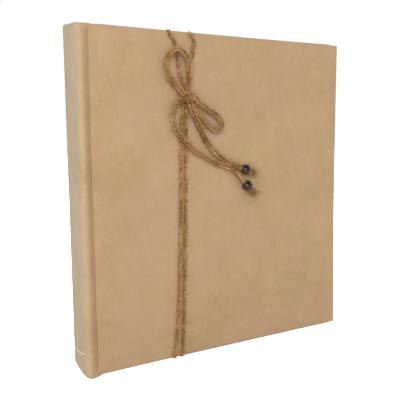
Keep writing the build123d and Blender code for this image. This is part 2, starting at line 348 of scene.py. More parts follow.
def striped_thread():
    """Head band thread, natural and brown turns along the band. U is along it, in 100 mm."""
    finish = Finish("band_cloth", 0.7)
    along = finish.node("ShaderNodeSeparateXYZ", {}, {0: finish.places("UV")}, output=0)
    pitch = 3.2
    stripe = (along * (100 * 2 * math.pi / pitch)).sine().between(-0.25, 0.25)
    fine = finish.noise(finish.places("UV", (60, 3, 1)), 8, 2.0, 0.5)
    colour = finish.mix((0.40, 0.25, 0.13), (0.72, 0.62, 0.44), stripe)
    finish.set("Base Color", finish.mix(colour, (0.25, 0.17, 0.1), fine.between(0.5, 0.8) * 0.5))
    return finish.material


# ---- Meshes ----

def outward(points, faces):
    """Turns every face round if the closed skin's signed volume is negative."""
    corners = points[faces]
    centre = points.mean(0)
    a, b, c, d = (corners[:, k] - centre for k in range(4))
    volume = (a * (np.cross(b, c) + np.cross(c, d))).sum()
    return faces if volume > 0 else faces[:, ::-1]


def make_piece(name, body, points, faces, material, slot, uv=None, painted_level=None, angle=40.0):
    """A mesh piece from points in millimetres and quads, at the origin. It rides on a body, unless body
    is None. The painted level is the painted light at each point, from -1, a painted highlight, to 1, a
    painted shade."""
    mesh = bpy.data.meshes.new(name)
    polygons = [tuple(dict.fromkeys(face)) for face in outward(points, faces).tolist()]
    mesh.from_pydata((points * MM).tolist(), [], polygons)
    if uv is not None:
        layer = mesh.uv_layers.new(name="UVMap")
        loops = np.empty(len(mesh.loops), np.int32)
        mesh.loops.foreach_get("vertex_index", loops)
        layer.data.foreach_set("uv", uv[loops].astype(np.float32).ravel())
    if painted_level is not None:
        layer = mesh.attributes.new("rim_wear", "FLOAT", "POINT")
        layer.data.foreach_set("value", painted_level.astype(np.float32).ravel())
    mesh.materials.append(material)
    mesh.polygons.foreach_set("use_smooth", np.full(len(mesh.polygons), True))
    if angle:
        mesh.set_sharp_from_angle(angle=math.radians(angle))
    mesh.update()
    piece = bpy.data.objects.new(name, mesh)
    bpy.context.scene.collection.objects.link(piece)
    if body:
        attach(piece, body)
    return piece


def grid_faces(rows, columns, start=0):
    """The quads of a grid of points numbered row by row."""
    index = start + np.arange(rows * columns).reshape(rows, columns)
    return np.stack([index[:-1, :-1], index[:-1, 1:], index[1:, 1:], index[1:, :-1]], -1).reshape(-1, 4)


def two_sided(outer, inner):
    """A closed sheet between two grids of the same size: both faces, and a strip round their rims."""
    rows, columns, _ = outer.shape
    points = np.concatenate([outer.reshape(-1, 3), inner.reshape(-1, 3)])
    count = rows * columns
    index = np.arange(count).reshape(rows, columns)
    rim = np.concatenate([index[0, :-1], index[:-1, -1], index[-1, :0:-1], index[:0:-1, 0]])
    after = np.roll(rim, -1)
    strip = np.stack([after, rim, rim + count, after + count], -1)
    faces = np.concatenate([grid_faces(rows, columns), grid_faces(rows, columns, count)[:, ::-1], strip])
    return points, faces


def smooth_step(t):
    """0 below 0, 1 above 1, 3t^2 - 2t^3 between."""
    t = np.clip(t, 0, 1)
    return t * t * (3 - 2 * t)


def samples(low, high, step, rim=(), spots=(), reach=4.0, fine=0.7):
    """Even places from low to high, with more at distances from both ends and round some spots."""
    places = [np.linspace(low, high, max(3, int((high - low) / step) + 1))]
    places += [np.array([low + r, high - r]) for r in rim]
    places += [np.arange(spot - reach, spot + reach + fine / 2, fine) for spot in spots]
    merged = np.unique(np.round(np.concatenate(places), 3))
    return merged[(merged >= low) & (merged <= high)]


def rounding(distance_x, distance_z, radius):
    """How far a face drops at a rim rounded with the radius: r - sqrt(r^2 - a^2 - b^2), where a and b
    are how far inside the radius the point is from each edge."""
    a = np.clip(radius - distance_x, 0, radius)
    b = np.clip(radius - distance_z, 0, radius)
    return radius - np.sqrt(np.clip(radius ** 2 - a ** 2 - b ** 2, 0, None))


CORNERS_OUT, DISH_ACROSS, DISH_UP = 1.4, 2.4, 1.4


def front_warp(x, z):
    """How far the front cover lies inwards of its plane: a shallow dish, -c + a(1 - U^2) + b(1 - V^2),
    with U and V from -1 to 1 across the cover and up it. The corners stand out by c."""
    u = np.clip(2 * (x - HINGE_X) / WIDTH - 1, -1, 1)
    v = np.clip(2 * z / HEIGHT - 1, -1, 1)
    return -CORNERS_OUT + DISH_ACROSS * (1 - u * u) + DISH_UP * (1 - v * v)


def ripple(x, z):
    """The faint waves of a board that took up glue: 0.1 sin sin."""
    return 0.10 * np.sin(x / 31 + 0.4) * np.sin(z / 43 + 1.1)


def back_warp(x, z):
    """The back cover bows a third as much, the other way about."""
    return -front_warp(x, z) / 3


def dents(x, crossings, width=1.5):
    """Round hollows of depth 1 where twine crosses an edge: exp(-(d / width)^2)."""
    return sum(np.exp(-((x - crossing) / width) ** 2) for crossing in crossings)


# ---- Covers ----

RIM = (0.06, 0.2, 0.4, 0.65, 0.95, 1.4, 2.2, 3.4, 5.0, 7.5)
NEAR_RIM = (9.0, 10.0, 11.0, 12.0)
HINGE_DIP = 0.6
BOARD_ROUND = 1.1
CORNER_PULL = 1.3
TURN_IN = 11.2


def rim_wear(from_edge):
    """Painted shade of both skins of a sheet, strongest at its edge: exp(-d / 0.5) at d millimetres from
    its edge.
    """
    painted_level = np.exp(-from_edge / 0.5).ravel()
    return np.concatenate([painted_level, painted_level])


def cover_grid(crossings):
    """Places across a cover and up it, close together at its rims and at the twine."""
    x = samples(HINGE_X, FORE_X, 3.4, RIM + NEAR_RIM, crossings)
    z = samples(0, HEIGHT, 4.2, RIM)
    return np.meshgrid(x, z)


def cover_outline(x, z, heads, tails):
    """The cover's rim in its plane: dented by the twine, a little low at the hinge and where the paper
    is folded over the head corner, and each corner drawn in by a small radius."""
    near_head = smooth_step((z - HEIGHT + 6) / 6)
    near_tail = smooth_step((6 - z) / 6)
    corner = smooth_step((x - FORE_X + 11.5) / 2.5)
    z = z - near_head * (1.0 * dents(x, heads) + 0.75 * corner) + near_tail * dents(x, tails)
    z = z + near_tail * 0.35 * corner - near_head * HINGE_DIP * (1 - smooth_step((x - HINGE_X) / 14))
    to_head = np.clip(1 - np.minimum(z, HEIGHT - z) / CORNER_PULL, 0, 1)
    to_fore = np.clip(1 - (FORE_X - x) / CORNER_PULL, 0, 1)
    return x - 0.45 * CORNER_PULL * to_head ** 2 * to_fore, z


def cover_piece(name, body, side, warp, heads, tails, material):
    """A board in its covering paper: two faces a board apart with rounded rims, bent by the warp.
    side is -1 at the front and 1 at the back."""
    x, z = cover_grid(heads + tails)
    from_end = np.minimum(z, HEIGHT - z)
    drop = np.maximum(*(rounding(inwards, from_end, BOARD_ROUND) for inwards in (x - HINGE_X, FORE_X - x)))
    bend = warp(x, z) + ripple(x, z)
    outline_x, outline_z = cover_outline(x, z, heads, tails)
    pressed = 0.5 * (smooth_step((z - HEIGHT + 7) / 7) * dents(x, heads, 1.8)
                     + smooth_step((7 - z) / 7) * dents(x, tails, 1.8))
    face = side * abs(FRONT_Y)
    outer = np.stack([outline_x, face - side * (drop + pressed) + bend, outline_z], -1)
    inner = np.stack([outline_x, face - side * (WRAP_THICK - drop * 0.9) + bend, outline_z], -1)
    # Painted shade along the cover's head, tail and fore edge.
    painted_level = rim_wear(np.minimum(from_end, (FORE_X - x) * 1.6))
    return make_piece(name, body, *two_sided(outer, inner), material, "kraft_cover", painted_level=painted_level)


def pastedown_piece(name, body, side, warp, material):
    """The paper glued inside a cover: 3 mm short of its edges, with the turned-in covering paper
    showing under it as a low step 15 mm in."""
    low, high = lining_low, lining_high
    near_step = (0.3, 9.5, 10.5, TURN_IN, 11.8, 12.6, 14.0)
    x, z = np.meshgrid(*(samples(low[k], high[k], 5.0, near_step) for k in (0, 2)))
    inset = np.minimum(np.minimum(z - low[2], high[2] - z), high[0] - x)
    step = 0.16 * smooth_step((inset - TURN_IN) / 1.2)
    bubbles = 0.04 * np.sin(x / 17) * np.sin(z / 13 + x / 29)
    level = side * (abs(INNER_Y) - 0.1)
    bend = warp(x, z) + ripple(x, z)
    outer = np.stack([x, level + side * (step * 0.6 + bubbles * 0.5) + bend, z], -1)
    inner = np.stack([x, level + side * 0.4 + bend, z], -1)
    return make_piece(name, body, *two_sided(outer, inner), material, "endpaper")


# ---- Spine and joints ----

def unit(vectors):
    """Each vector over its own length."""
    return vectors / np.linalg.norm(vectors, axis=-1, keepdims=True)


def around(turn, first, second):
    """Unit vectors at a turn about an axis: cos t first + sin t second."""
    return np.cos(turn)[..., None] * first + np.sin(turn)[..., None] * second


def through(points, count):
    """A smooth line through points, a Catmull-Rom cubic on each stretch, worked out for all at once."""
    points = np.array(points, float)
    padded = np.vstack([2 * points[0] - points[1], points, 2 * points[-1] - points[-2]])
    place = np.linspace(0, len(points) - 1 - 1e-9, count)
    start = place.astype(int)
    t = (place - start)[:, None]
    a, b, c, d = (padded[start + k] for k in range(4))
    return 0.5 * (2 * b + (c - a) * t + (2 * a - 5 * b + 4 * c - d) * t ** 2
                  + (3 * b - a - 3 * c + d) * t ** 3)


# The spine's outer skin in plan, from the back shoulder round to the front one, which is the fuller.
SPINE_PLAN = [
    (-141.6, 22.7), (-142.8, 23.5), (-143.7, 22.8), (-144.2, 19.5), (-145.5, 10.5), (-146.8, 0.5),
    (-147.55, -8.0), (-147.85, -14.0), (-147.6, -18.8), (-146.7, -21.9), (-145.2, -23.5),
    (-143.4, -23.8), (-141.7, -22.9),
]
# In plan, from the shoulder's crest into the groove and out over the board's edge; y is from the middle.
GROOVE_PLAN = [
    (-144.0, 23.45), (-142.8, 23.3), (-141.6, 22.5), (-140.4, 21.4), (-139.3, 20.3), (-138.3, 19.3),
    (-137.5, 18.6), (-137.0, 18.4), (-136.65, 19.0), (-136.25, 19.6), (-135.6, 19.74), (-134.8, 19.66),
    (-133.6, 19.3),
]
GROOVE_END = 4.5
TAIL_BULGE, HEAD_RISE, SHOULDER_DIP = 1.9, 3.2, 1.2


def spine_piece(material):
    """The curved spine: its plan line carried up the height, half a board to each side of its middle.
    The head rises towards the back and its rim flares. A crease of the turned-in paper crosses it above
    the tail: a ridge exp(-((z - z0) / 0.75)^2), painted pale along its length as a painted highlight."""
    half = SPINE_THICK / 2
    plan = through(SPINE_PLAN, 140)
    travelled = np.concatenate([[0], np.cumsum(np.linalg.norm(np.diff(plan, axis=0), axis=1))])
    along = samples(0, travelled[-1], 1.1, (0.1, 0.3, 0.6))
    plan = np.stack([np.interp(along, travelled, plan[:, k]) for k in range(2)], 1)
    tangent = np.gradient(plan, along, axis=0)
    normal = unit(np.stack([tangent[:, 1], -tangent[:, 0]], 1))
    near_crease = (12.7, 13.4, 14.0, 14.6, 15.2, 15.8, 16.4, 17.0, 17.6, 18.2, 18.8, 19.4, 20.0, 20.6, 21.4,
                   22.5)
    z = samples(0, HEIGHT, 5.0, RIM + NEAR_RIM + near_crease)[:, None]
    y = plan[:, 1][None]
    from_end = np.minimum(z, HEIGHT - z)
    thick = half * np.sqrt(np.clip(1 - (1 - np.clip(from_end / 0.8, 0.3, 1)) ** 2, 0, 1))
    thin_ends = 0.25 + 0.75 * smooth_step(np.minimum(along, along[-1] - along) / 4)[None]
    far_side = smooth_step((y + 10) / 24)
    from_head = HEIGHT - z
    flare = 1.15 * far_side * np.exp(-from_head / 2.6) + 0.4 * (1 - far_side) * np.exp(-from_head / 2.2)
    flare = flare + 0.3 * np.exp(-z / 2.5)
    crease_z = 17.3 - 3.0 * np.clip(y / 18, -1, 1)
    ridge = np.exp(-((z - crease_z) / 0.75) ** 2) * smooth_step((y + 19) / 7)
    wobble = 0.12 * np.sin(z / 37) * np.cos(y / 9) + 0.06 * np.sin(z / 11 + y / 25)
    rise = smooth_step((z - HEIGHT + 16) / 16) * head_rise(y)
    bulge = tail_bulge(z) * smooth_step((-y - 13) / 9)

    def skin(depth):
        offset = depth + flare + wobble
        return np.stack([plan[:, 0][None] + normal[:, 0] * offset, y + normal[:, 1] * offset - bulge,
                         np.broadcast_to(z + rise, offset.shape)], -1)

    outer = skin(thick - half + 0.55 * ridge)
    inner = skin(-half - thick * thin_ends - half * (thin_ends - 1))
    # Painted shade at the head and tail, less a painted highlight along the crease ridge on the outer skin.
    painted_level = rim_wear(np.broadcast_to(from_end, outer.shape[:2])) - np.concatenate([ridge, 0 * ridge]).ravel()
    return make_piece("spine_cover", "text_block", *two_sided(outer, inner), material, "kraft_cover",
                      painted_level=painted_level)


def tail_bulge(z):
    """How far the front shoulder swells just above the tail, where the paper is turned in over it."""
    return TAIL_BULGE * np.exp(-(z / 6) ** 2)


def head_rise(y):
    """How far the head of the spine stands over the covers' heads: up towards the back, and down a
    little at the front shoulder."""
    return HEAD_RISE * smooth_step((y + 16) / 34) - SHOULDER_DIP * np.exp(-((y + 25) / 3.5) ** 2)


def strip_piece(name, cover, side, line, thick, z0, z1, warp, material, slot, step, groove=False):
    """A standing strip along a line in plan, bent between the block and a cover where it crosses the
    joint. It follows the cover's warp in full from the board's edge on, and not at all at the spine.
    A groove runs out towards its ends, where the turned-in paper fills it."""
    plan = through(line, 60)
    tangent = np.gradient(plan, axis=0)
    normal = unit(np.stack([-tangent[:, 1], tangent[:, 0]], 1))
    taper = np.ones(len(plan))
    taper[-5:] = np.linspace(0.9, 0.3, 5)
    z = samples(z0, z1, step, (0.1, 0.3, 0.6, 1.0, 1.6, 2.5, 4.0, 6.0, 9.0, 12.0))[:, None]
    share = smooth_step((plan[:, 0] - plan[0, 0]) / (HINGE_X - plan[0, 0]))
    bend = warp(np.full(z.shape, HINGE_X), z) * share
    wave = 0.05 * np.sin(z / 9.0) * np.sin(np.pi * share)
    from_end = np.minimum(z - z0, z1 - z)
    fill = drop = rim = 0 * z
    if groove:
        fill = 0.85 * np.exp(-(from_end / GROOVE_END) ** 2)
        drop = smooth_step((z - z1 + 16) / 16) * head_rise(side * np.abs(plan[:1, 1])) * (1 - share)
        drop = drop - smooth_step((z - z1 + 6) / 6) * HINGE_DIP * share
        rim = 0.5 * (1 - np.sqrt(np.clip(1 - (1 - np.clip(from_end / 0.8, 0.1, 1)) ** 2, 0, 1)))
    way = (plan[:, 0] - plan[0, 0]) / (plan[-1, 0] - plan[0, 0])
    chord = plan[0, 1] + (plan[-1, 1] - plan[0, 1]) * way ** 2

    def sheet(offset):
        x = np.broadcast_to(plan[:, 0] + normal[:, 0] * offset * taper, (len(z), len(plan)))
        across = plan[:, 1] + normal[:, 1] * offset * taper
        across = across + fill * np.clip(chord - across, 0, None) - rim
        if groove and side < 0:
            across = across + tail_bulge(z) * (1 - way) ** 0.8
        y = side * (across + wave) + bend
        return np.stack([x, y, np.broadcast_to(z + drop, x.shape)], -1)

    outer = sheet(thick)
    # Painted shade at the ends of the grooved joint strip.
    painted_level = rim_wear(np.broadcast_to(from_end, outer.shape[:2])) if groove else None
    piece = make_piece(name, None, *two_sided(sheet(0), outer), material, slot, painted_level=painted_level)
    start, end = ((x * MM, side * JOINT_Y * MM, 0) for x in (JOINT_SPINE_X, JOINT_BOARD_X))
    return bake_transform(piece)


# ---- Leaves ----

def leaf_piece(name, number, material, slot):
    """One sheet: flat and thin at its crease, swelling to twice that, with a slight wave, and near the
    front cover a share of its bow."""
    low, high = box_mm(name)
    x0, middle_y = low[0] - 0.45, (low[1] + high[1]) / 2
    bow = max(0.0, 1 - number / 9)
    x = samples(x0, high[0], 8.0, (0.5, 3.0))
    z = samples(low[2], high[2], 9.0, (0.5,))
    x, z = np.meshgrid(x, z)
    share = smooth_step((x - x0) / 30)
    phase = number * 1.7
    wave = 0.10 * np.sin(x / 52 + phase) * np.cos(z / 61 + 0.6 * phase)
    bend = share * (bow * np.clip(front_warp(x, z), -0.15, None) + wave)
    ragged_x, ragged_z = rng.uniform(-0.3, 0.15, 2)
    edge = np.clip((x - x0) / (high[0] - x0), 0, 1)
    x = x + edge * ragged_x
    z = z + ragged_z * (z - low[2]) / (high[2] - low[2])
    half = (high[1] - low[1]) / 2 * (1 + share)
    outer = np.stack([x, middle_y - half + bend, z], -1)
    inner = np.stack([x, middle_y + half + bend, z], -1)
    piece = make_piece(name + "_sheet", name, *two_sided(outer, inner), material, slot)
    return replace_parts(piece, name)


# ---- Cords ----

def on_front(point):
    """A point at a height over the front cover's face, where the dished cover is there."""
    x, lift, z = point
    return (x, FRONT_Y - lift + float(front_warp(x, z)), z)


def route_line(name, route, step=0.45):
    """Even steps along the open NURBS spline whose control points are the route's own points."""
    curve = bpy.data.curves.new(name, "CURVE")
    curve.dimensions, curve.resolution_u = "3D", 24
    spline = curve.splines.new("NURBS")
    spline.points.add(len(route) - 1)
    spline.points.foreach_set("co", [n for point in route for n in (*point, 1.0)])
    spline.order_u, spline.use_endpoint_u = 3, True
    holder = bpy.data.objects.new(name, curve)
    bpy.context.scene.collection.objects.link(holder)
    bpy.context.view_layer.update()
    mesh = bpy.data.meshes.new_from_object(holder)
    line = np.empty(len(mesh.vertices) * 3)
    mesh.vertices.foreach_get("co", line)
    bpy.data.objects.remove(holder)
    bpy.data.meshes.remove(mesh)
    line = line.reshape(-1, 3)
    travelled = np.concatenate([[0], np.cumsum(np.linalg.norm(np.diff(line, axis=0), axis=1))])
    places = np.linspace(0, travelled[-1], int(travelled[-1] / step) + 1)
    return np.stack([np.interp(places, travelled, line[:, k]) for k in range(3)], 1), places


def cross_axes(line, reference):
    """Two unit vectors across the line at each point, the first as near the reference as it can be."""
    tangent = unit(np.gradient(line, axis=0))
    first = unit(reference - tangent * (tangent * reference).sum(1)[:, None])
    return tangent, first, np.cross(tangent, first)


def tube_skins(centres, first, second, radii, travelled):
    """Closed round skins: centres is (skins, rings, 3), radii is (skins, rings, sides). Each ring is
    centre + r (cos t first + sin t second), and a fan closes each end. Gives points, quads and UVs."""
    skins, rings, sides = radii.shape
    t = np.linspace(0, 2 * np.pi, sides, endpoint=False)
    body = centres[:, :, None, :] + radii[..., None] * around(t, first[:, None], second[:, None])[None]
    index = np.arange(skins * rings * sides).reshape(skins, rings, sides)
    turned = np.roll(index, -1, 2)
    faces = np.stack([index[:, :-1], turned[:, :-1], turned[:, 1:], index[:, 1:]], -1).reshape(-1, 4)
    total = skins * rings * sides
    tips = np.concatenate([centres[:, 0], centres[:, -1]])
    first_tip = total + np.arange(skins)[:, None] + np.zeros((1, sides), int)
    last_tip = first_tip + skins
    starts = np.stack([turned[:, 0], index[:, 0], first_tip, first_tip], -1).reshape(-1, 4)
    ends = np.stack([index[:, -1], turned[:, -1], last_tip, last_tip], -1).reshape(-1, 4)
    u = np.broadcast_to(travelled[None, :, None] / 100, (skins, rings, sides))
    v = np.broadcast_to(t[None, None, :] / (2 * np.pi), (skins, rings, sides))
    v = v + np.arange(skins)[:, None, None] * 0.37
    tip_uv = np.zeros((2 * skins, 2))
    uv = np.concatenate([np.stack([u.ravel(), v.ravel()], 1), tip_uv])
    return np.concatenate([body.reshape(-1, 3), tips]), np.concatenate([faces, starts, ends]), uv


def twisted(line, travelled, reference, strands, gap, twine, lay=8.5, sides=10, phase=0.0):
    """Two-ply twine, or strands of it side by side: each strand lies off the line by the gap, which
    opens and closes, and its two plies wind round it once in each lay. A ply's radius swells and
    shrinks with its fibres."""
    tangent, first, second = cross_axes(line, reference)
    offsets = []
    for strand in range(strands):
        sign = 0 if strands == 1 else (-1 if strand == 0 else 1)
        roll = 0.55 * np.sin(travelled / 23 + phase) + 0.3 * np.sin(travelled / 7.7 + 2 * phase)
        wide = gap * (1 + 0.35 * np.sin(travelled / 17 + phase + strand) ** 2)
        shift = sign * wide[:, None] * around(roll, second, first)
        for ply in (0, 1):
            turn = 2 * np.pi * travelled / lay + np.pi * ply + 1.3 * strand + phase
            wander = 1 + 0.12 * np.sin(travelled / 3.1 + 2.0 * strand + ply)
            away = PLY_OFFSET * twine * wander
            offsets.append(shift + away[:, None] * around(turn, first, second))
    centres = line[None] + np.stack(offsets)
    t = np.linspace(0, 2 * np.pi, sides, endpoint=False)
    skins = len(offsets)
    swell = rng.normal(0, 1, (skins, len(line), 1))
    swell = (swell + np.roll(swell, 1, 1) + np.roll(swell, 2, 1) + np.roll(swell, 3, 1)) / 2
    ridges = 0.07 * np.sin(3 * t[None, None] - travelled[None, :, None] * 2.2
                           + np.arange(skins)[:, None, None])
    grit = rng.uniform(-0.06, 0.06, (skins, len(line), sides))
    radii = PLY_RADIUS * twine * (1 + 0.06 * swell + ridges + grit)
    return tube_skins(centres, first, second, radii, travelled)


def hairs(line, travelled, reference, count, radius, length, away_from=None, thick=0.055):
    """Loose fibres off a cord of a radius: each leaves its side at a slant, and curls:
    root + L t d + L t^2 c, for t from 0 to 1, as a thin three-sided tube that tapers. None goes under the
    floor or the skin that it keeps away from."""
    tangent, first, second = cross_axes(line, reference)
    place = rng.integers(1, len(line) - 1, count)
    leaves_at = rng.uniform(0, 2 * np.pi, count)
    out = around(leaves_at, first[place], second[place])
    along = tangent[place] * rng.choice([-1, 1], count)[:, None]
    slant = rng.uniform(0.3, 1.1, count)[:, None]
    heading = unit(0.62 * out + slant * along + rng.normal(0, 0.22, (count, 3)))
    curl = rng.normal(0, 0.33, (count, 3)) + 0.15 * along
    size = length * np.exp(rng.normal(0, 0.38, count))
    t = np.linspace(0, 1, 5)
    root = line[place] + out * radius * rng.uniform(0.55, 1.0, count)[:, None]
    path = (root[:, None] + size[:, None, None] * (t[None, :, None] * heading[:, None]
                                                   + t[None, :, None] ** 2 * curl[:, None]))
    if away_from is not None:
        path[..., 1] = np.minimum(path[..., 1], away_from(path[..., 0], path[..., 2]))
        path[..., 2] = np.maximum(path[..., 2], FLOOR_Z)
    across = unit(np.cross(heading, rng.normal(0, 1, (count, 3))))
    ring = around(np.arange(3) * 2 * np.pi / 3, across[:, None], np.cross(heading, across)[:, None])
    width = thick * np.linspace(1, 0.35, 5)
    points = path[:, :, None] + width[None, :, None, None] * ring[:, None]
    index = np.arange(count * 15).reshape(count, 5, 3)
    turned = np.roll(index, -1, 2)
    faces = np.stack([index[:, :-1], turned[:, :-1], turned[:, 1:], index[:, 1:]], -1).reshape(-1, 4)
    caps = np.concatenate([index[:, 0, ::-1][:, [0, 1, 2, 2]], index[:, 4][:, [0, 1, 2, 2]]])
    u = np.broadcast_to(t[None, :, None] * 0.05, (count, 5, 3)) + place[:, None, None] * 0.011
    uv = np.stack([u.ravel(), np.broadcast_to(leaves_at[:, None, None], (count, 5, 3)).ravel()], 1)
    return points.reshape(-1, 3), np.concatenate([faces, caps]), uv


def joined(*meshes):
    """Several meshes of points, quads and UVs as one."""
    starts = np.cumsum([0] + [len(m[0]) for m in meshes[:-1]])
    points, uv = (np.concatenate([mesh[k] for mesh in meshes]) for k in (0, 2))
    return points, np.concatenate([mesh[1] + start for mesh, start in zip(meshes, starts)]), uv


def cover_skin_y(x, z):
    """Where a fibre lies when it rests on the front cover."""
    return FRONT_Y + front_warp(x, z) - 0.08


OVER_COVER = np.array([[0.0, -1.0, 0.0]])
ACROSS = np.array([[1.0, 0.0, 0.0]])


def cord_piece(name, mesh, material, body="front_cover"):
    return make_piece(name, body, *mesh[:2], material, "jute_twine", uv=mesh[2], angle=None)


def bow_cord(name, node, route, material, hair_material, hair_count, phase):
    """A doubled cord of the bow: two strands of twine along the route's spline, with their loose hairs."""
    line, travelled = route_line(name, [on_front(point) for point in route])
    strands = twisted(line, travelled, OVER_COVER, 2, STRAND_GAP, BOW_TWINE, phase=phase)
    piece = cord_piece(name, strands, material)
    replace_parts(piece, node)
    fuzz = hairs(line, travelled, OVER_COVER, hair_count, 2.2, 3.0, cover_skin_y, thick=0.085)
    fuzz_piece = cord_piece(name + "_fibres", fuzz, hair_material)
    return piece


def wrap_route(side):
    """One strand round the front cover: from the knot over the head, down inside, under the tail and up
    to the knot again. Points close to each edge keep it tight there."""
    head_x, tail_x = HEAD_CROSSING[side], TAIL_CROSSING[side]
    head_z, tail_z = HEIGHT - 0.25, 0.3
    inside = INNER_Y + TWINE_LIFT
    near = 3.0

    def inner(x, z):
        return (x, inside + float(front_warp(x, z)), z)

    route = [on_front((x, TWINE_LIFT, z)) for x, z in ABOVE_KNOT[side]]
    route += [on_front((head_x, TWINE_LIFT, head_z - near)), on_front((head_x, TWINE_LIFT - 0.25, head_z)),
              inner(head_x, head_z), inner(head_x, head_z - near)]
    steps = np.linspace(0, 1, 8)[1:-1]
    route += [inner(head_x + (tail_x - head_x) * s, head_z + (tail_z - head_z) * s) for s in steps]
    route += [inner(tail_x, tail_z + near), inner(tail_x, tail_z),
              on_front((tail_x, TWINE_LIFT - 0.25, tail_z)), on_front((tail_x, TWINE_LIFT, tail_z + near))]
    route += [on_front((x, TWINE_LIFT, z)) for x, z in BELOW_KNOT[side]]
    return route


def wrap_piece(side, material, hair_material):
    """Twine held tight round the front cover."""
    name = "twine_wrap_" + side
    line, travelled = route_line(name, wrap_route(side), 0.5)
    mesh = twisted(line, travelled, ACROSS, 1, 0, TWINE, sides=8, phase=0.7 if side == "left" else 2.9)
    piece = cord_piece(name + "_twine", mesh, material)
    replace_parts(piece, name)
    outer = np.flatnonzero(line[:, 1] < FRONT_Y + 0.5)
    breaks = int(np.argmax(np.diff(outer))) + 1
    for part, stretch in (("upper", outer[:breaks]), ("lower", outer[breaks:])):
        count = int(len(stretch) * 3.2)
        fuzz = hairs(line[stretch], travelled[stretch], ACROSS, count, 1.5, 2.6, cover_skin_y, thick=0.08)
        cord_piece(f"{name}_{part}_fibres", fuzz, hair_material)


def knot_piece(material, hair_material):
    """The bow's knot: three turns of twine wound round the crossing, with a core of twine."""
    centre = np.array(on_front(KNOT))
    turns, radius, reach = 3.15, 3.15, 4.4
    wound = np.arange(0, 2 * np.pi * turns, 0.11)
    turn = wound + 0.9
    radial = np.stack([0 * turn, -np.cos(turn), np.sin(turn)], 1)
    line = centre + radial * (radius + 0.25 * np.sin(2.3 * turn)[:, None])
    line[:, 0] += np.linspace(-reach, reach, len(turn)) + 0.9 * np.sin(turn + 0.5)
    length = wound * 3.2
    windings = twisted(line, length, radial, 1, 0, 2.3, lay=7.0, phase=0.3)
    core_line = centre + np.stack([np.linspace(-5.2, 5.2, 24), 0.4 * np.sin(np.linspace(0, 5, 24)),
                                   0.5 * np.cos(np.linspace(0, 4, 24))], 1)
    core = twisted(core_line, np.linspace(0, 10, 24), OVER_COVER, 2, 1.2, 3.2, phase=1.0)
    piece = cord_piece("knot_windings", joined(windings, core), material)
    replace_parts(piece, "bow_knot")
    fuzz = hairs(line, length, radial, 150, 1.2, 2.4, cover_skin_y)
    return piece, cord_piece("knot_fibres", fuzz, hair_material)


def at_route_end(node, route):
    """A node's middle over the dished cover, its greatest size, and the way its cord leaves through it."""
    low, high = box_mm(node)
    centre = (low + high) / 2
    centre[1] += float(front_warp(centre[0], centre[2]))
    return centre, (high - low).max(), unit(np.subtract(on_front(route[-1]), on_front(route[-2])))


def bead_piece(node, route, material):
    """A drilled bead turned round its cord: its outline goes over the ball, r = sqrt(R^2 - h^2), round
    the lip of the bore and back through it."""
    centre, across, axis = at_route_end(node, route)
    ball, bore, lip = across / 2, 1.7, 0.35
    top = math.acos((bore + lip) / ball)
    arc = np.linspace(-top, top, 30)
    radius, height = ball * np.cos(arc), ball * np.sin(arc)
    lip_turn = np.linspace(0.25 * np.pi, np.pi, 5)
    lip_height = height[-1] - lip * 0.3
    radius = np.concatenate([radius, bore + lip + lip * np.cos(lip_turn), np.full(4, bore),
                             bore + lip + lip * np.cos(lip_turn[::-1])])
    height = np.concatenate([height, lip_height + lip * (np.sin(lip_turn) - 1) * 0.6,
                             np.linspace(0.6, -0.6, 4) * lip_height,
                             -lip_height - lip * (np.sin(lip_turn[::-1]) - 1) * 0.6])
    first = unit(np.cross(axis, (0, 1, 0.2)))
    t = np.linspace(0, 2 * np.pi, 40, endpoint=False)
    facet = 1 + 0.012 * np.cos(5 * t)[:, None] * np.sin(1 + 3 * height / ball)[None]
    ring = around(t, first, np.cross(axis, first))
    points = centre + ring[:, None] * (radius * facet)[..., None] + axis * height[None, :, None]
    index = np.arange(len(t) * len(radius)).reshape(len(t), len(radius))
    beside, above = np.roll(index, -1, 0), np.roll(index, -1, 1)
    faces = np.stack([index, beside, np.roll(beside, -1, 1), above], -1).reshape(-1, 4)
    piece = make_piece(node + "_turned", "front_cover", points.reshape(-1, 3), faces, material, "dark_bead",
                       angle=None)
    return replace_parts(piece, node)


def end_knot_piece(node, route, material, hair_material):
    """An overhand knot, the closed line (sin t + 2 sin 2t, cos t - 2 cos 2t, -1.5 sin 3t), and its frayed
    tuft."""
    centre, size, axis = at_route_end(node, route)
    first = np.cross(axis, (0, 1, 0))
    second = np.cross(axis, first)
    t = np.linspace(0, 2 * np.pi, 90)
    shape = np.stack([np.sin(t) + 2 * np.sin(2 * t), np.cos(t) - 2 * np.cos(2 * t),
                      -1.5 * np.sin(3 * t)], 1)
    line = centre + 0.105 * size * (shape[:, :1] * first + shape[:, 1:2] * second + shape[:, 2:] * axis)
    knot = twisted(line, t * 4, line - centre, 1, 0, 1.7, lay=5.0)
    piece = cord_piece(node + "_tied", knot, material)
    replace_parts(piece, node)
    tuft = centre + axis * np.linspace(0.8, 3.2, 20)[:, None]
    fuzz = hairs(tuft, np.linspace(0, 2, 20), OVER_COVER, 320, 1.0, 5.6, cover_skin_y, thick=0.075)
    loose = hairs(line, t, line - centre, 180, 0.8, 3.6, cover_skin_y, thick=0.075)
    return piece, cord_piece(node + "_fibres", joined(fuzz, loose), hair_material)


# ---- Bands ----

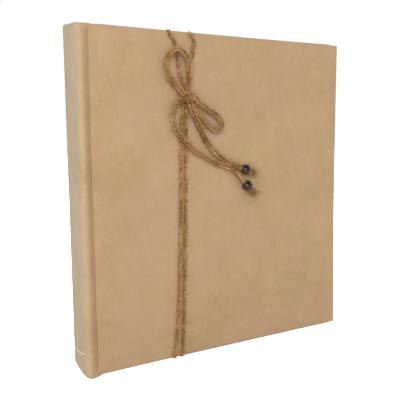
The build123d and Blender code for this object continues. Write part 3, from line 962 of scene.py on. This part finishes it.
def band_piece(material):
    """The head and tail bands: a round cord along the block's arc, bound with thread whose turns
    stand up as small ridges."""
    half = band_high[1] - 0.2
    block_radius = SPINE_RADIUS - 4.0
    reach = math.asin(half / block_radius)
    angle = np.linspace(-reach, reach, 150)
    radius = 1.15
    travelled = angle * block_radius
    meshes = []
    for z in (band_high[2] - radius, band_low[2] + radius):
        line = np.stack([SPINE_AXIS_X - (block_radius - radius) * np.cos(angle),
                         (block_radius - radius) * np.sin(angle), np.full(len(angle), z)], 1)
        _, first, second = cross_axes(line, np.array([[0.0, 0.0, 1.0]]))
        ridge = radius * (1 + 0.07 * np.abs(np.sin(travelled * 2.6)))
        radii = np.broadcast_to(ridge[None, :, None], (1, len(line), 12))
        meshes.append(tube_skins(line[None], first, second, radii, travelled))
    mesh = joined(*meshes)
    piece = make_piece("sewn_bands", "text_block", *mesh[:2], material, "band_cloth", uv=mesh[2])
    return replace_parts(piece, "head_and_tail_bands")


# ---- Floor and light ----

def make_floor():
    """A plain white floor, one millimetre below the tail edges so that the twine passes under them. It
    glows to the eye, as a lit studio sweep does, but not under the album, and lights it as plain paper."""
    edge = 6000.0
    corners = [(x * MM, y * MM, FLOOR_Z * MM) for x, y in ((-edge, -edge), (edge, -edge), (edge, edge),
                                                            (-edge, edge))]
    finish = Finish("floor", 0.9, base_color=(0.80, 0.80, 0.80), specular_ior_level=0.0,
                    emission_strength=1.0)
    x, y = finish.place(0), finish.place(1)
    under = x.between(-0.136, -0.130) * y.between(-0.018, -0.016)
    under = under * (1 - x.between(0.134, 0.140)) * (1 - y.between(0.016, 0.018))
    seen = finish.node("ShaderNodeLightPath", output="Is Camera Ray")
    finish.set("Emission Color", finish.mix((0.0, 0.0, 0.0), (1.0, 1.0, 1.0), seen * (1 - under)))
    mesh = bpy.data.meshes.new("floor")
    mesh.from_pydata(corners, [], [(0, 1, 2, 3)])
    mesh.materials.append(finish.material)
    floor = bpy.data.objects.new("floor", mesh)
    bpy.context.scene.collection.objects.link(floor)


def add_light(name, place, target, size, power, colour=(1, 1, 1)):
    """A square soft box that faces a target."""
    data = bpy.data.lights.new(name, "AREA")
    data.shape, data.size, data.energy, data.color = "SQUARE", size, power, colour
    light = bpy.data.objects.new(name, data)
    turn = (Vector(target) - Vector(place)).to_track_quat("-Z", "Y")
    light.matrix_world = Matrix.Translation(place) @ turn.to_matrix().to_4x4()
    bpy.context.scene.collection.objects.link(light)


def make_studio():
    """White walls to the eye, which light the album more softly and are dim in a polished bead, and four
    soft boxes."""
    scene = bpy.context.scene
    scene.view_settings.view_transform = "Standard"
    scene.world = bpy.data.worlds.new("studio")
    scene.world.use_nodes = True
    tree = scene.world.node_tree
    sky = tree.nodes["Background"]
    sky.inputs["Color"].default_value = (1.0, 1.0, 1.0, 1)
    path = tree.nodes.new("ShaderNodeLightPath")
    as_light = tree.nodes.new("ShaderNodeMapRange")
    as_light.inputs["To Min"].default_value = 0.57
    as_light.inputs["To Max"].default_value = 0.14
    brightness = tree.nodes.new("ShaderNodeMapRange")
    tree.links.new(path.outputs["Is Glossy Ray"], as_light.inputs["Value"])
    tree.links.new(path.outputs["Is Camera Ray"], brightness.inputs["Value"])
    tree.links.new(as_light.outputs["Result"], brightness.inputs["To Min"])
    tree.links.new(brightness.outputs["Result"], sky.inputs["Strength"])
    add_light("key", (-0.62, -1.15, 0.60), (0, 0, 0.15), size=0.3, power=7.5, colour=(1.0, 0.985, 0.96))
    add_light("spine_side", (-1.5, 0.1, 0.4), (-0.1, 0, 0.15), size=0.8, power=6.2,
              colour=(0.60, 0.95, 1.50))
    add_light("back", (0.6, 1.4, 0.9), (0, 0, 0.15), size=0.9, power=14)
    add_light("fore_edge", (1.5, 0.35, 0.55), (0.1, 0, 0.15), size=0.8, power=10)


# ---- The album ----

def build():
    kraft = kraft_paper()
    endpaper = plain_paper("endpaper", (0.80, 0.74, 0.62), (0.74, 0.67, 0.54))
    card = plain_paper("leaf_card", (0.86, 0.82, 0.73), (0.81, 0.76, 0.66))
    guard = plain_paper("guard_card", (0.78, 0.72, 0.60), (0.70, 0.63, 0.50))
    liner = plain_paper("liner_paper", (0.52, 0.38, 0.24), (0.44, 0.31, 0.19))
    mull = woven("mull_cloth", (0.78, 0.73, 0.62), (0.50, 0.44, 0.34), 0.9)
    twine = jute("jute_twine", (0.86, 0.56, 0.26), (0.57, 0.315, 0.115), (0.28, 0.125, 0.034),
                 (0.065, 0.024, 0.005))
    fibre = jute("jute_fibre", (0.72, 0.46, 0.20), (0.54, 0.31, 0.12), (0.38, 0.19, 0.06),
                 (0.22, 0.10, 0.03))
    lacquer = dark_lacquer()
    heads, tails = (tuple(crossing.values()) for crossing in (HEAD_CROSSING, TAIL_CROSSING))
    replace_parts(spine_piece(kraft), "spine_paper", "spine_board")
    fold = [(fold_low[0], 16.70), (-141.5, 16.75), (-138.8, 16.6), (HINGE_X, 16.62),
            (HINGE_X + 3, 16.64)]
    for side, name, warp, crossings in ((-1, "front", front_warp, (heads, tails)),
                                        (1, "back", back_warp, ((), ()))):
        cover = name + "_cover"
        case = cover_piece(cover + "_case", cover, side, warp, *crossings, kraft)
        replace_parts(case, cover + "_paper", name + "_board")
        lining = pastedown_piece(cover + "_lining", cover, side, warp, endpaper)
        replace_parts(lining, name + "_pastedown")
        strip = strip_piece(f"{name}_joint_strip", cover, side, GROOVE_PLAN, 0.3, 0, HEIGHT, warp, kraft,
                            "kraft_cover", 5.0, groove=True)
        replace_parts(strip, f"{name}_joint_paper")
        strip = strip_piece(f"{name}_hinge_endpaper", cover, side, fold, 0.25, *BLOCK_Z, warp, endpaper,
                            "endpaper", 12.0)
        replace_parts(strip, f"{name}_endpaper_joint")

    for name, finish in (("leaf_stubs", card), ("leaf_guards", guard), ("spine_mull", mull),
                         ("spine_liner", liner)):
        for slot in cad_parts[name].material_slots:
            slot.link = "OBJECT"
            slot.material = finish
    leaves = sorted(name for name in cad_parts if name.startswith("leaf_") and name[5:].isdigit())
    sheets = ["front_flyleaf", *leaves, "back_flyleaf"]
    for number, name in enumerate(sheets):
        leaf_piece(name, number, *((endpaper, "endpaper") if "flyleaf" in name else (card, "leaf_card")))

    band_piece(striped_thread())
    for side in ("left", "right"):
        wrap_piece(side, twine, fibre)
    knot = knot_piece(twine, fibre)
    bow_cord("bow_loop_left_cord", "bow_loop_left", LOOP_LEFT, twine, fibre, 950, 0.2)
    bow_cord("bow_loop_right_cord", "bow_loop_right", LOOP_RIGHT, twine, fibre, 950, 1.4)
    for side, place, route, phase in (("left", "lower", TAIL_LEFT, 2.3),
                                      ("right", "upper", TAIL_RIGHT, 3.6)):
        bead = bead_piece(f"bead_{place}", route, lacquer)
        tied = end_knot_piece(f"end_knot_{place}", route, twine, fibre)
        bow_cord(f"bow_tail_{side}_cord", f"bow_tail_{side}", route, twine, fibre,
                 1100, phase)


make_camera()
make_studio()
make_floor()
build()
